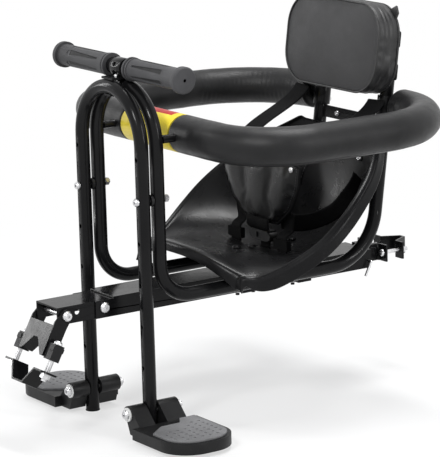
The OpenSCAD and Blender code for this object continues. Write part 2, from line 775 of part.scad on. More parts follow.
// The seat's surface: rows run from its front lip to the top of its back
function seat_rows() =
    let (line = smooth(seat_line, 3), rim = smooth(seat_rim, 3), m = len(line) - 1)
    [for (i = [0 : m])
        let (c = line[i], e = rim[i], w = seat_half - e[0])
        let (t = unit([rim[min(i + 1, m)][1] - rim[max(i - 1, 0)][1],
            rim[min(i + 1, m)][2] - rim[max(i - 1, 0)][2]]))
        let (down = i < 6 ? unit([t[1] * i / 6, -1]) : [t[1], -t[0]], drop = skirt * min(1, (i + 1) / 8) * (1 - 0.45 * i / m))
        let (roll = [[flange_w + 2, drop], [flange_w, min(6, drop / 2)], [flange_w * 0.8, 0], [flange_w * 0.4, -3 * min(1, (i + 1) / 6)]])
        concat(
            [for (k = [0 : 3]) [-w - roll[k][0], e[1] + down[0] * roll[k][1], e[2] + down[1] * roll[k][1]]],
            [for (v = [-1 : 0.125 : 1]) let (f = pow(abs(v), 3))
                [w * v, c[0] + (e[1] - c[0]) * f, c[1] + (e[2] - c[1]) * f]],
            [for (k = [3 : -1 : 0]) [w + roll[k][0], e[1] + down[0] * roll[k][1], e[2] + down[1] * roll[k][1]]])];

module seat_sheet(rows, thick) {
    m = len(rows);
    n = len(rows[0]);
    inner = [for (i = [0 : m - 1], j = [0 : n - 1])
        let (a = rows[min(i + 1, m - 1)][j] - rows[max(i - 1, 0)][j])
        let (b = rows[i][min(j + 1, n - 1)] - rows[i][max(j - 1, 0)])
        rows[i][j] - thick * unit(cross(b, a))];
    outer = [for (r = rows, p = r) p];
    s = m * n;
    top = [for (i = [0 : m - 2], j = [0 : n - 2])
        let (a = i * n + j) each [[a, a + n, a + n + 1], [a, a + n + 1, a + 1]]];
    under = [for (f = top) [f[0] + s, f[2] + s, f[1] + s]];
    ends = [for (j = [0 : n - 2]) each [[j, j + 1, j + 1 + s], [j, j + 1 + s, j + s]]];
    e = (m - 1) * n;
    tips = [for (j = [0 : n - 2])
        each [[e + j + 1, e + j, e + j + s], [e + j + 1, e + j + s, e + j + 1 + s]]];
    left = [for (i = [0 : m - 2]) let (a = i * n)
        each [[a + n, a, a + s], [a + n, a + s, a + n + s]]];
    right = [for (i = [0 : m - 2]) let (a = i * n + n - 1)
        each [[a, a + n, a + n + s], [a, a + n + s, a + s]]];
    polyhedron(points = concat(outer, inner), faces = concat(top, under, ends, tips, left, right));
}

module seat_shell() {
    color(PLASTIC) at_origin() difference() {
        union() {
            seat_sheet(seat_rows(), shell_t);
            for (p = seat_bolts) translate([0, p[0], cover_top + 3.3])
                cylinder(r = 8, h = p[1] - cover_top - 3.3);
            lean() mirrored() translate([back_bolt_x, -23.5, back_bar_up]) rotate([-90, 0, 0])
                cylinder(r = 7, h = 23.5 + post_front - 3.6);
        }
        for (p = seat_bolts) translate([0, p[0], cover_top]) cylinder(r = 3.3, h = 60);
        lean() mirrored() translate([back_bolt_x, -40, back_bar_up]) rotate([-90, 0, 0])
            cylinder(r = 2.3, h = 40);
        mirrored() translate([59, 250, 110]) round_slot(28, 6, 30);
        translate([0, 262, 110]) round_slot(28, 6, 30);
    }
}

module seat_screws() {
    color(CHROME) at_origin() lean() mirrored() translate([back_bolt_x, -23.7, back_bar_up])
        rotate([-90, 0, 0]) bolt(4, 18, 9, 3);
}

// Guard ring

// The ring's path from a distance from_x on its front to a distance end_x at its rear
module arm(r, from_x, end_x) {
    translate([from_x, ring_front, ring_z]) bent_rod([
        [ring_half - ring_front_bend - from_x, 0, ring_front_bend, 90],
        [ring_rear - ring_front - ring_front_bend - ring_rear_bend, 0, ring_rear_bend, 90],
        [ring_half - ring_rear_bend - end_x]], r);
}

module ring_tube() {
    color(STEEL) at_origin() difference() {
        mirrored() arm(ring_r, 0, leg_x + 14);
        mirrored() arm(ring_r - tube_wall, 0, leg_x + 13);
    }
}

module standoff(r, from, to) {
    translate([stand_x, from, stand_z]) rotate([-90, 0, 0]) cylinder(r = r, h = to - from);
}

module foam() {
    color(FOAM) difference() {
        arm(foam_r, band_half, foam_rear);
        arm(ring_r + seat_gap, band_half - 1, foam_rear - 1);
        standoff(6.6, frame_y, stand_end + 1.5);
    }
}

module left_foam() {
    at_origin() foam();
}

module right_foam() {
    at_origin() mirror([1, 0, 0]) foam();
}

module front_band() {
    half = band_half - seat_gap;
    color(YELLOW) at_origin() along_x(-half, ring_front, ring_z) difference() {
        cylinder(r = foam_r, h = 2 * half);
        translate([0, 0, -1]) cylinder(r = ring_r + seat_gap, h = 2 * half + 2);
    }
}

module ring_standoffs() {
    color(STEEL) at_origin() mirrored() standoff(6, frame_y + tube_r + 0.2, stand_end);
}

module ring_collars() {
    up = (stand_z - post_start) / cos(post_lean);
    color(STEEL) at_origin() mirrored() difference() {
        union() {
            lean() translate([leg_x, 0, up - 16]) cylinder(r = tube_r + 3, h = 32);
            translate([leg_x + 7, ring_rear, ring_z]) rotate([0, 90, 0])
                cylinder(r = ring_r + 3, h = foam_rear - leg_x - 7.5);
        }
        post(tube_r + 0.15, 40);
        translate([leg_x + 13.8, ring_rear, ring_z]) rotate([0, 90, 0])
            cylinder(r = ring_r + run, h = 40);
        lean() translate([leg_x, 0, up - 9]) rotate([-90, 0, 0]) cylinder(d = 4.4, h = 20);
    }
}

module ring_screws() {
    up = (stand_z - post_start) / cos(post_lean);
    color(CHROME) at_origin() lean() mirrored() translate([leg_x, tube_r + 3.3, up - 9])
        rotate([90, 0, 0]) bolt(4, 2.8, 8, 3);
}

// Back brackets

module upper_back_bar() {
    color(STEEL) at_origin() difference() {
        lean() translate([-leg_x, -1.5, bar_up - 9]) cube([2 * leg_x, 3, 18]);
        post(tube_r + run, 40);
        lean() mirrored() translate([leg_x - 1, -10, bar_up - 20]) cube([20, 20, 40]);
        lean() mirrored() translate([34, -5, bar_up]) rotate([-90, 0, 0]) cylinder(d = 4.4, h = 10);
    }
}

module lower_back_bar() {
    color(STEEL) at_origin() lean() difference() {
        translate([-leg_x - 4, post_front - 3.2, back_bar_up - 11]) cube([2 * leg_x + 8, 3, 22]);
        mirrored() translate([back_bolt_x, -20, back_bar_up]) rotate([-90, 0, 0]) cylinder(d = 4.4, h = 20);
    }
}

module back_screws() {
    color(CHROME) at_origin() lean() mirrored() translate([34, -1.7, bar_up]) rotate([-90, 0, 0]) {
        bolt(4, 9, 8, 3);
        translate([0, 0, 3.4]) hex_nut(4, 7, 3.2);
    }
}

// Head cushion

module head_cushion() {
    w = cushion_w / 2 - cushion_r;
    color(FABRIC) at_origin() lean() translate([0, post_front - seat_gap, cushion_up])
        rotate([90, 0, 0]) hull() for (sx = [-1, 1], sz = [cushion_r, cushion_h - cushion_r])
            translate([sx * w, sz, 0]) {
                cylinder(r = cushion_r - 9, h = cushion_t, $fn = 32);
                translate([0, 0, 4]) cylinder(r = cushion_r - 2, h = cushion_t - 8, $fn = 32);
                translate([0, 0, 9]) cylinder(r = cushion_r, h = cushion_t - 18, $fn = 32);
            }
}

module cushion_straps() {
    color(FABRIC) at_origin() lean() for (up = [cushion_up + 22, cushion_up + 70])
        translate([0, 0, up]) difference() {
            linear_extrude(24) {
                translate([-leg_x, post_front]) square([2 * leg_x, 2 * tube_r + 3.3]);
                for (s = [-1, 1]) translate([s * leg_x, 0]) intersection() {
                    circle(r = tube_r + 3.3);
                    translate([-20, post_front]) square([40, 40]);
                }
            }
            translate([0, 0, -1]) linear_extrude(26) {
                translate([-leg_x, post_front - 1]) square([2 * leg_x, 2 * tube_r + 1.3]);
                for (s = [-1, 1]) translate([s * leg_x, 0]) circle(r = tube_r + seat_gap);
            }
        }
}

// Harness

function bezier(p, n) = [for (i = [0 : n]) let (t = i / n, s = 1 - t)
    s * s * s * p[0] + 3 * s * s * t * p[1] + 3 * s * t * t * p[2] + t * t * t * p[3]];

module shoulder_strap() {
    back = vest_y + vest_t / 2 + strap_t / 2 + 2 * seat_gap;
    path = bezier([[92, 402, 338], [96, 372, 296], [82, back + 6, 300], [76, back, 232]], 14);
    color(FABRIC) ribbon(path, [for (p = path) [1, 0, 0]], strap_w, strap_t);
}

module left_shoulder_strap() {
    at_origin() shoulder_strap();
}

module right_shoulder_strap() {
    at_origin() mirror([1, 0, 0]) shoulder_strap();
}

module vest_pad() {
    h = vest_w / 2;
    color(FABRIC) at_origin() translate([0, vest_y + vest_t / 2, vest_low]) rotate([90, 0, 0])
        linear_extrude(vest_t) polygon([[-32, 0], [-50, 13], [-h * 0.8, 40], [-h * 0.96, 75],
            [-h, 106], [-h * 0.6, 113], [h * 0.6, 113], [h, 106], [h * 0.96, 75], [h * 0.8, 40],
            [50, 13], [32, 0]]);
}

module hip_strap(width, thick) {
    back = vest_y + vest_t / 2 + strap_t / 2 + seat_gap;
    path = [[59, 250, 108], [59, 250, 130], [59, 250, 146], [59, 253, 151], [60, back - 2, 155],
        [60, back, 159], [62, back, 170], [64, back, 184]];
    ribbon(path, [for (p = path) [1, 0, 0]], width, thick);
}

module hip_straps() {
    color(FABRIC) at_origin() mirrored() hip_strap(25, strap_t);
}

waist_path = [[80, 374, 226], [84, 356, 204], [79, 334, 180], [70, 302, 168], [63, 276, 167],
    [52, 266.4, 168], [36, 266.2, 168]];
module waist_straps() {
    path = smooth(waist_path, 2);
    color(FABRIC) at_origin() mirrored() ribbon(path, [for (p = path) [0, 0, 1]], 26, strap_t);
}

module strap_sliders() {
    color(PLASTIC) at_origin() mirrored() translate([59, 250, 130]) difference() {
        translate([-17, -4, 0]) cube([34, 8, 15]);
        translate([-13, -2, -1]) cube([26, 4, 17]);
    }
}

module crotch_strap() {
    color(FABRIC) at_origin() translate([-12.5, 262 - strap_t / 2, 108])
        cube([25, strap_t, vest_low - 16.4 - 108]);
}

module buckle() {
    color(PLASTIC) at_origin() translate([0, 260, vest_low - 16.3]) difference() {
        union() {
            translate([-20, -9, 0]) cube([40, 16, 16]);
            for (s = [-1, 1]) translate([s * 20, -9, 8]) rotate([-90, 0, 0]) cylinder(r = 6, h = 16);
        }
        translate([-8, -10, 4]) cube([16, 3, 8]);
    }
}

foot_hoop();
seat_frame();
rear_posts();
leg_spacers();
tube_plugs();
height_bolts();
height_nuts();
left_footplate();
right_footplate();
left_tread();
right_tread();
footrest_bolts();
footrest_washers();
footrest_nuts();
handle_bar();
left_grip();
right_grip();
handle_bracket();
handle_plate();
handle_bolt();
front_beam();
rear_beam();
beam_bolt();
cross_plates();
beam_straps();
cross_bolts();
cross_nuts();
clamp_bracket();
clamp_pivot_bolt();
clamp_rod_guides();
clamp_rods();
clamp_jaw();
clamp_nuts();
post_clamp_body();
post_clamp_jaw();
post_clamp_bolts();
post_clamp_nuts();
lock_pin();
seat_shell();
seat_screws();
ring_tube();
left_foam();
right_foam();
front_band();
ring_standoffs();
ring_collars();
ring_screws();
upper_back_bar();
lower_back_bar();
back_screws();
head_cushion();
cushion_straps();
left_shoulder_strap();
right_shoulder_strap();
vest_pad();
hip_straps();
waist_straps();
strap_sliders();
crotch_strap();
buckle();
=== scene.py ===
import json
import math

import bmesh
import bpy
import numpy as np
from mathutils import Matrix, Vector, noise


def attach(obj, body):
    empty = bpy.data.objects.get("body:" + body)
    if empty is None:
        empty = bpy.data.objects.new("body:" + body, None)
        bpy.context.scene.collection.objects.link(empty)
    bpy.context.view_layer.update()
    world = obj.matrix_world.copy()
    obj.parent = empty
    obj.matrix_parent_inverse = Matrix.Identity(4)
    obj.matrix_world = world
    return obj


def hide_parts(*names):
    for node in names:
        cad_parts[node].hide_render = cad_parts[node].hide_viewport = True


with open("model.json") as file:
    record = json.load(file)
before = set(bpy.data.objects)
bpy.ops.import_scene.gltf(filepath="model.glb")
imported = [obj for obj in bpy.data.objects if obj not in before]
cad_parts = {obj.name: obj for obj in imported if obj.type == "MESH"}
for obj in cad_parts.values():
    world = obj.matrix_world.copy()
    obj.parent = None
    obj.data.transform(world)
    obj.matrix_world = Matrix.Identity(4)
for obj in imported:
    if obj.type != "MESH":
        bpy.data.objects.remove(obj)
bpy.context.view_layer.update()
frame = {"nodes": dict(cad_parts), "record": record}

# Objects are in metres in the row frame. laid and leaned take millimetres in the
# layout of part.scad, whose zero is in the hoop's plane at its lowest hole.
MM = 0.001
HOME = Vector((0.0, -475.0, -88.0))
LEAN = math.radians(8)
PIVOT_Y, PIVOT_Z, POST_Y = 322, 181, 85
UP = Vector((0, 0, 1))


def laid(x, y, z):
    """A point of the layout in part.scad, in metres in the row frame."""
    return (Vector((x, y, z)) + HOME) * MM


def leaned(x, y, z):
    """A point in the frame of the leaning rear posts."""
    c, s = math.cos(LEAN), math.sin(LEAN)
    return laid(x, PIVOT_Y + (POST_Y + y) * c + z * s, PIVOT_Z - (POST_Y + y) * s + z * c)


# Camera, floor and lights

IMAGE = (440, 457)
FOCAL = 2775.3
AZIMUTH, ELEVATION, ROLL = (math.radians(a) for a in (56.24, 12.52, -1.59))
EYE = Vector((3.2982, -2.4986, 0.9546))
SENSOR = 36
FLOOR_Z, FLOOR_R = -0.1862, 30
# How much of the floor shows plain white, by distance from its middle
FADE = {"From Min": 0.2, "From Max": 1.3, "To Min": 0.55, "To Max": 1.0}
WORLD_LIGHT = 0.4
# Name, place, aim, width, height and power
LAMPS = [
    ("key", (1.1, -2.3, 1.9), (0, -0.25, 0.1), 0.5, 0.5, 38),
    ("side", (2.5, 0.6, 1.1), (0, -0.2, 0.1), 0.16, 1.6, 22),
    ("fill", (-2.0, -1.6, 1.0), (0, -0.2, 0.1), 0.22, 1.6, 17),
    ("top", (0.0, 0.2, 2.3), (0, -0.2, 0.1), 1.2, 0.4, 46),
]


def make_camera():
    ca, sa = math.cos(AZIMUTH), math.sin(AZIMUTH)
    ce, se = math.cos(ELEVATION), math.sin(ELEVATION)
    ahead = Vector((-sa * ce, ca * ce, -se))
    right = Vector((ca, sa, 0))
    up = right.cross(ahead)
    r = math.cos(ROLL) * right + math.sin(ROLL) * up
    u = -math.sin(ROLL) * right + math.cos(ROLL) * up
    cam = bpy.data.objects.new("camera", bpy.data.cameras.new("camera"))
    cam.data.sensor_width = SENSOR
    cam.data.lens = FOCAL * SENSOR / max(IMAGE)
    cam.data.clip_start, cam.data.clip_end = 0.1, 100
    m = Matrix((r, u, -ahead)).transposed().to_4x4()
    m.translation = EYE
    cam.matrix_world = m
    bpy.context.scene.collection.objects.link(cam)
    bpy.context.scene.camera = cam


def make_lamp(name, place, aim, width, height, power):
    data = bpy.data.lights.new(name, "AREA")
    data.shape = "RECTANGLE"
    data.size, data.size_y, data.energy = width, height, power
    obj = bpy.data.objects.new(name, data)
    obj.location = place
    obj.rotation_mode = "QUATERNION"
    obj.rotation_quaternion = (Vector(aim) - Vector(place)).to_track_quat("-Z", "Y")
    bpy.context.scene.collection.objects.link(obj)


def wire(nt, *pairs):
    for a, b in pairs:
        nt.links.new(a, b)


def seen_directly(nt):
    """1 where a ray from the camera, a reflection or glass looks at the surface."""
    path = nt.nodes.new("ShaderNodeLightPath")
    a = nt.nodes.new("ShaderNodeMath")
    b = nt.nodes.new("ShaderNodeMath")
    a.operation = b.operation = "MAXIMUM"
    wire(nt, (path.outputs["Is Camera Ray"], a.inputs[0]),
         (path.outputs["Is Transmission Ray"], a.inputs[1]),
         (a.outputs[0], b.inputs[0]),
         (path.outputs["Is Glossy Ray"], b.inputs[1]))
    return b.outputs[0]


def make_world():
    """White where it is seen, and a weaker light on everything else."""
    world = bpy.data.worlds.new("studio")
    bpy.context.scene.world = world
    world.use_nodes = True
    nt = world.node_tree
    nt.nodes.clear()
    out = nt.nodes.new("ShaderNodeOutputWorld")
    seen = nt.nodes.new("ShaderNodeBackground")
    light = nt.nodes.new("ShaderNodeBackground")
    seen.inputs["Color"].default_value = (1, 1, 1, 1)
    seen.inputs["Strength"].default_value = 1.0
    light.inputs["Color"].default_value = (0.95, 0.97, 1, 1)
    light.inputs["Strength"].default_value = WORLD_LIGHT
    mix = nt.nodes.new("ShaderNodeMixShader")
    wire(nt, (seen_directly(nt), mix.inputs[0]), (light.outputs[0], mix.inputs[1]),
         (seen.outputs[0], mix.inputs[2]), (mix.outputs[0], out.inputs[0]))


def make_floor():
    """A pale disc that fades to white away from the part."""
    bm = bmesh.new()
    bmesh.ops.create_circle(bm, cap_ends=True, segments=96, radius=FLOOR_R)
    me = bpy.data.meshes.new("floor")
    bm.to_mesh(me)
    bm.free()
    floor = bpy.data.objects.new("floor", me)
    floor.location = (0, -0.2, FLOOR_Z)
    bpy.context.scene.collection.objects.link(floor)
    m = bpy.data.materials.new("floor")
    m.use_nodes = True
    nt = m.node_tree
    nt.nodes.clear()
    out = nt.nodes.new("ShaderNodeOutputMaterial")
    matt = nt.nodes.new("ShaderNodeBsdfDiffuse")
    matt.inputs["Color"].default_value = (0.86, 0.86, 0.86, 1)
    glow = nt.nodes.new("ShaderNodeEmission")
    place = nt.nodes.new("ShaderNodeTexCoord")
    length = nt.nodes.new("ShaderNodeVectorMath")
    length.operation = "LENGTH"
    far = nt.nodes.new("ShaderNodeMapRange")
    for socket, value in FADE.items():
        far.inputs[socket].default_value = value
    share = nt.nodes.new("ShaderNodeMath")
    share.operation = "MULTIPLY"
    mix = nt.nodes.new("ShaderNodeMixShader")
    wire(nt, (place.outputs["Object"], length.inputs[0]),
         (length.outputs["Value"], far.inputs["Value"]),
         (far.outputs[0], share.inputs[0]), (seen_directly(nt), share.inputs[1]),
         (share.outputs[0], mix.inputs[0]), (matt.outputs[0], mix.inputs[1]),
         (glow.outputs[0], mix.inputs[2]), (mix.outputs[0], out.inputs[0]))
    me.materials.append(m)


# Materials

RING_Z = 324
STRIPE_Z = laid(0, 0, RING_Z + 25.8).z
BAR = laid(0, 22, 419)


class Finish:
    """A Principled material made from a few procedural layers."""

    def __init__(self, name, rough, metal=0.0, specular=0.3):
        self.m = bpy.data.materials.new(name)
        self.m.use_nodes = True
        self.nt = self.m.node_tree
        self.nt.nodes.clear()
        self.b = self.node("ShaderNodeBsdfPrincipled")
        self.link(self.b.outputs[0], self.node("ShaderNodeOutputMaterial").inputs[0])
        self.b.inputs["Metallic"].default_value = metal
        self.b.inputs["Specular IOR Level"].default_value = specular
        self.b.inputs["Roughness"].default_value = rough
        self.where = self.node("ShaderNodeTexCoord").outputs["Object"]
        self.normal = None

    def node(self, kind, **settings):
        n = self.nt.nodes.new(kind)
        for key, value in settings.items():
            if hasattr(n, key):
                setattr(n, key, value)
            else:
                n.inputs[key].default_value = value
        return n

    def link(self, a, b):
        self.nt.links.new(a, b)

    def noise(self, scale, detail=3.0):
        n = self.node("ShaderNodeTexNoise", Scale=scale, Detail=detail)
        n.inputs["Roughness"].default_value = 0.55
        self.link(self.where, n.inputs["Vector"])
        return n.outputs["Fac"]

    def span(self, value, low, high, a=0.3, b=0.7):
        """low to high where the value goes from a to b, and held beyond."""
        r = self.node("ShaderNodeMapRange")
        r.inputs["From Min"].default_value = a
        r.inputs["From Max"].default_value = b
        r.inputs["To Min"].default_value = low
        r.inputs["To Max"].default_value = high
        self.link(value, r.inputs["Value"])
        return r.outputs[0]

    def ramp(self, value, stops):
        r = self.node("ShaderNodeValToRGB")
        e = r.color_ramp.elements
        while len(e) < len(stops):
            e.new(0.5)
        for item, (at, colour) in zip(e, stops):
            item.position = at
            item.color = (*colour, 1)
        self.link(value, r.inputs[0])
        return r.outputs[0]

    def maths(self, kind, a, b=None, c=None):
        n = self.node("ShaderNodeMath", operation=kind)
        for slot, v in enumerate((a, b, c)):
            if v is None:
                continue
            if isinstance(v, (int, float)):
                n.inputs[slot].default_value = v
            else:
                self.link(v, n.inputs[slot])
        return n.outputs[0]

    def mix(self, fac, a, b):
        n = self.node("ShaderNodeMix", data_type="RGBA")
        for socket, v in ((n.inputs[0], fac), (n.inputs[6], a), (n.inputs[7], b)):
            if isinstance(v, (int, float)):
                socket.default_value = v
            elif isinstance(v, tuple):
                socket.default_value = (*v, 1)
            else:
                self.link(v, socket)
        return n.outputs[2]

    def colour(self, socket):
        self.link(socket, self.b.inputs["Base Color"])

    def roughness(self, value):
        self.link(value, self.b.inputs["Roughness"])

    def bump(self, value, depth, strength=1.0):
        n = self.node("ShaderNodeBump")
        n.inputs["Strength"].default_value = strength
        n.inputs["Distance"].default_value = depth
        self.link(value, n.inputs["Height"])
        if self.normal is not None:
            self.link(self.normal, n.inputs["Normal"])
        self.normal = n.outputs[0]
        self.link(self.normal, self.b.inputs["Normal"])

    def attribute(self, name):
        a = self.node("ShaderNodeAttribute", attribute_name=name)
        x = self.node("ShaderNodeSeparateXYZ")
        self.link(a.outputs["Vector"], x.inputs[0])
        return x.outputs


def painted_steel():
    f = Finish("black_steel", 0.24, specular=0.13)
    base = f.ramp(f.noise(14), [(0.3, (0.0055, 0.0055, 0.006)), (0.7, (0.009, 0.009, 0.0095))])
    chips = f.span(f.noise(310, 6), 0, 0.35, 0.66, 0.74)
    f.colour(f.mix(chips, base, (0.035, 0.035, 0.036)))
    f.roughness(f.span(f.noise(60, 5), 0.13, 0.24))
    f.bump(f.noise(420, 2), 0.00012, 0.35)
    f.bump(f.noise(35, 2), 0.0004, 0.12)
    return f.m


def zinc():
    f = Finish("zinc", 0.28, metal=1.0)
    f.colour(f.ramp(f.noise(90, 5), [(0.25, (0.5, 0.5, 0.51)), (0.75, (0.78, 0.78, 0.79))]))
    f.roughness(f.span(f.noise(300, 4), 0.2, 0.42))
    f.bump(f.noise(900, 2), 0.00006, 0.4)
    return f.m


def moulded(name, dark, light, low, high, grain=0.00012, worn=0.035, specular=0.2,
            pressed=None):
    """Moulded plastic or rubber. pressed gives 1 where a recess is pressed into it; the recess is
    bumped in and its colour darkened as painted shade.
    """
    f = Finish(name, low, specular=specular)
    base = f.ramp(f.noise(18, 4), [(0.3, dark), (0.7, light)])
    rub = f.span(f.noise(160, 6), 0, 0.4, 0.62, 0.76)
    colour = f.mix(rub, base, (worn, worn, worn))
    f.roughness(f.span(f.noise(40, 5), low, high))
    n = f.node("ShaderNodeTexVoronoi", Scale=1400.0)
    f.link(f.where, n.inputs["Vector"])
    f.bump(n.outputs["Distance"], grain, 0.4)
    f.bump(f.noise(900, 3), grain, 0.3)
    if pressed:
        recess_and_shade = pressed(f)
        # Painted shade: inside the recess the colour is darkened to a quarter of the dark tone.
        colour = f.mix(recess_and_shade, colour, tuple(0.25 * c for c in dark))
        f.bump(f.maths("SUBTRACT", 1.0, recess_and_shade), 0.0014, 0.9)
    f.colour(colour)
    return f.m


def grip_wedges(f):
    """1 inside the wedges pressed into the grips, which widen towards the bar's ends."""
    x = f.node("ShaderNodeSeparateXYZ")
    f.link(f.where, x.inputs[0])
    forward = f.maths("SUBTRACT", BAR.y, x.outputs[1])
    above = f.maths("SUBTRACT", x.outputs[2], BAR.z)
    turn = f.maths("ARCTAN2", above, forward)
    apart = f.maths("PINGPONG", f.maths("ADD", turn, math.radians(240 - 34)), math.radians(30))
    along = f.span(f.maths("ABSOLUTE", x.outputs[0]), 0, 1, 0.046, 0.121)
    half = f.maths("MULTIPLY_ADD", along, 0.19, 0.05)
    across = f.span(f.maths("SUBTRACT", half, apart), 0, 1, -0.02, 0.03)
    inner = f.span(f.maths("ABSOLUTE", x.outputs[0]), 0, 1, 0.045, 0.047)
    outer = f.span(f.maths("ABSOLUTE", x.outputs[0]), 1, 0, 0.12, 0.122)
    return f.maths("MULTIPLY", across, f.maths("MULTIPLY", inner, outer))


def foam_rubber():
    f = Finish("foam", 0.42, specular=0.2)
    f.colour(f.ramp(f.noise(26, 6),
                    [(0.3, (0.0095, 0.0095, 0.01)), (0.7, (0.0155, 0.0155, 0.016))]))
    f.roughness(f.span(f.noise(55, 5), 0.34, 0.46))
    cells = f.node("ShaderNodeTexVoronoi", Scale=950.0)
    f.link(f.where, cells.inputs["Vector"])
    f.bump(cells.outputs["Distance"], 0.0003, 0.5)
    f.bump(f.noise(130, 4), 0.0006, 0.22)
    return f.m


def band_plastic():
    """Yellow sleeve with a plain red stripe along its top."""
    f = Finish("yellow_band", 0.34, specular=0.2)
    x = f.node("ShaderNodeSeparateXYZ")
    f.link(f.where, x.inputs[0])
    stripe = f.maths("GREATER_THAN", x.outputs[2], STRIPE_Z)
    ends = f.maths("LESS_THAN", f.maths("ABSOLUTE", x.outputs[0]), 0.047)
    yellow = f.ramp(f.noise(30, 4), [(0.3, (0.76, 0.6, 0.045)), (0.7, (0.86, 0.7, 0.075))])
    red = f.ramp(f.noise(60, 3), [(0.3, (0.36, 0.008, 0.006)), (0.7, (0.46, 0.014, 0.01))])
    f.colour(f.mix(f.maths("MULTIPLY", stripe, ends), yellow, red))
    f.roughness(f.span(f.noise(90, 3), 0.28, 0.42))
    f.bump(f.noise(500, 3), 0.0001, 0.3)
    return f.m


def leather(name, dark, light, low, high, pores, depth, strength=0.5, specular=0.3):
    """Leathercloth with fine pores between slightly wandering lines."""
    f = Finish(name, low, specular=specular)
    f.colour(f.ramp(f.noise(22, 5), [(0.3, dark), (0.7, light)]))
    f.roughness(f.span(f.noise(45, 5), low, high))
    cells = f.node("ShaderNodeTexVoronoi", feature="DISTANCE_TO_EDGE", Scale=pores)
    warp = f.node("ShaderNodeVectorMath", operation="ADD")
    soft = f.node("ShaderNodeTexNoise", Scale=180.0, Detail=2.0)
    small = f.node("ShaderNodeVectorMath", operation="SCALE")
    small.inputs["Scale"].default_value = 0.0012
    f.link(f.where, soft.inputs["Vector"])
    f.link(soft.outputs["Color"], small.inputs[0])
    f.link(f.where, warp.inputs[0])
    f.link(small.outputs[0], warp.inputs[1])
    f.link(warp.outputs[0], cells.inputs["Vector"])
    f.bump(f.span(cells.outputs["Distance"], 0, 1, 0.0, 0.12), depth, strength)
    f.bump(f.noise(120, 3), 0.0005, 0.2)
    return f.m


def webbing():
    """Twill that follows each strap's own length and width, from its attribute 'run'."""
    f = Finish("webbing", 0.66, specular=0.04)
    run = f.attribute("run")
    across = f.maths("ABSOLUTE", f.maths("MULTIPLY", run[1], 2200))
    twill = f.maths("SINE", f.maths("ADD", f.maths("MULTIPLY", run[0], 3300), across))
    ribs = f.maths("SINE", f.maths("MULTIPLY", run[1], 4200))
    threads = f.maths("ADD", twill, f.maths("MULTIPLY", ribs, 0.5))
    shade = f.span(threads, 0, 1, -1.5, 1.5)
    # Painted shade: the colour is darker in the grooves of the thread relief, mixed with random
    # tone from noise.
    f.colour(f.ramp(f.maths("ADD", f.maths("MULTIPLY", shade, 0.6),
                            f.maths("MULTIPLY", f.noise(150, 4), 0.4)),
                    [(0.2, (0.0025, 0.0025, 0.0027)), (0.8, (0.0095, 0.0095, 0.01))]))
    f.roughness(f.span(shade, 0.55, 0.75, 0, 1))
    f.bump(shade, 0.0005, 0.8)
    f.bump(f.noise(1400, 2), 0.0002, 0.4)
    return f.m


def thread():
    f = Finish("thread", 0.5)
    f.colour(f.ramp(f.noise(500, 2), [(0.3, (0.03, 0.03, 0.032)), (0.7, (0.07, 0.07, 0.074))]))
    f.bump(f.noise(2500, 2), 0.0001, 0.5)
    return f.m


MATERIALS = {
    "black_steel": painted_steel(),
    "zinc": zinc(),
    "black_plastic": moulded("black_plastic", (0.007, 0.007, 0.0075), (0.012, 0.012, 0.0125),
                             0.36, 0.5),
    "seat_plastic": moulded("seat_plastic", (0.0045, 0.0045, 0.005), (0.0075, 0.0075, 0.008),
                            0.24, 0.34, 0.00008, worn=0.02, specular=0.13),
    "tread": moulded("tread", (0.16, 0.16, 0.165), (0.22, 0.22, 0.226), 0.55, 0.75, 0.0003,
                     worn=0.28),
    "grip": moulded("grip", (0.042, 0.042, 0.044), (0.058, 0.058, 0.061), 0.5, 0.66, 0.0003,
                    worn=0.09, pressed=grip_wedges),
    "foam": foam_rubber(),
    "yellow_band": band_plastic(),
    "white_nylon": moulded("white_nylon", (0.66, 0.66, 0.65), (0.78, 0.78, 0.77), 0.35, 0.5,
                           worn=0.85, specular=0.4),
    "cushion": leather("cushion", (0.026, 0.026, 0.0275), (0.037, 0.037, 0.039), 0.42, 0.56,
                       1100.0, 0.0002),
    "leather": leather("glossy_leather", (0.006, 0.006, 0.0065), (0.011, 0.011, 0.0115),
                       0.42, 0.54, 700.0, 0.0001, 0.15, 0.5),
    "vest": leather("vest", (0.0045, 0.0045, 0.005), (0.008, 0.008, 0.0085), 0.26, 0.38,
                    900.0, 0.00015, 0.3, 0.2),
    "webbing": webbing(),
    "thread": thread(),
}


# Mesh helpers

def add(name, verts, faces, material):
    """A smooth object that rides on the frame."""
    me = bpy.data.meshes.new(name)
    me.from_pydata([tuple(v) for v in verts], [], faces)
    me.validate()
    bm = bmesh.new()
    bm.from_mesh(me)
    bmesh.ops.recalc_face_normals(bm, faces=bm.faces)
    bm.to_mesh(me)
    bm.free()
    for p in me.polygons:
        p.use_smooth = True
    obj = bpy.data.objects.new(name, me)
    bpy.context.scene.collection.objects.link(obj)
    me.materials.append(MATERIALS[material])
    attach(obj, "frame")
    return obj


def lengths(pts):
    """How far along a polyline each of its points is."""
    out = [0.0]
    for a, b in zip(pts, pts[1:]):
        out.append(out[-1] + (b - a).length)
    return out


def locate(marks, d):
    """The piece of a polyline that holds the distance d, and the share of it before d."""
    for i in range(len(marks) - 1):
        if marks[i + 1] >= d:
            return i, (d - marks[i]) / max(marks[i + 1] - marks[i], 1e-9)
    return len(marks) - 2, 1.0


def resample(path, step):
    """Points at equal distances along a polyline."""
    pts = [Vector(p) for p in path]
    dist = lengths(pts)
    n = max(2, round(dist[-1] / step))
    out, k = [], 0
    for i in range(n + 1):
        d = dist[-1] * i / n
        while k < len(pts) - 2 and dist[k + 1] < d:
            k += 1
        t = (d - dist[k]) / max(dist[k + 1] - dist[k], 1e-9)
        out.append(pts[k].lerp(pts[k + 1], min(max(t, 0), 1)))
    return out


